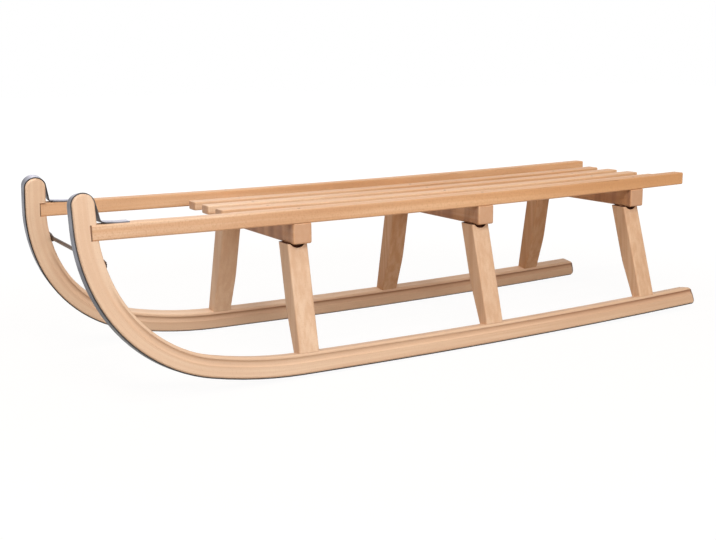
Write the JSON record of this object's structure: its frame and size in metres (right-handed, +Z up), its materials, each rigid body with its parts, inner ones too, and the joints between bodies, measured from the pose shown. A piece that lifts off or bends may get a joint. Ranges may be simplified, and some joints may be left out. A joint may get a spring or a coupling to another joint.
{
  "type": "wooden sled",
  "caption": "Traditional wooden sled with bent beech runners, steel runner shoes, splayed tenoned legs, cross beams and a slatted seat, pulled by a rope tied to its front rod.",
  "frame": {"origin": "middle of the bounding box at the level of the snow, under the runners' shoes", "axes": "+X forward towards the horns, +Y to the sled's left, +Z up"},
  "size_m": [1.156, 0.3614, 0.2966],
  "materials": {
    "beech": "satin",
    "steel": "satin"
  },
  "bodies": {
    "root": {"runner_left": "beech", "runner_right": "beech", "runner_shoe_left": "steel", "runner_shoe_right": "steel", "rail_left": "beech", "rail_right": "beech", "slat_1": "beech", "slat_2": "beech", "slat_3": "beech", "slat_4": "beech", "beam_front": "beech", "beam_middle": "beech", "beam_rear": "beech", "leg_front_left": "beech", "leg_front_right": "beech", "leg_middle_left": "beech", "leg_middle_right": "beech", "leg_rear_left": "beech", "leg_rear_right": "beech", "front_rod": "steel"}
  },
  "joints": []
}
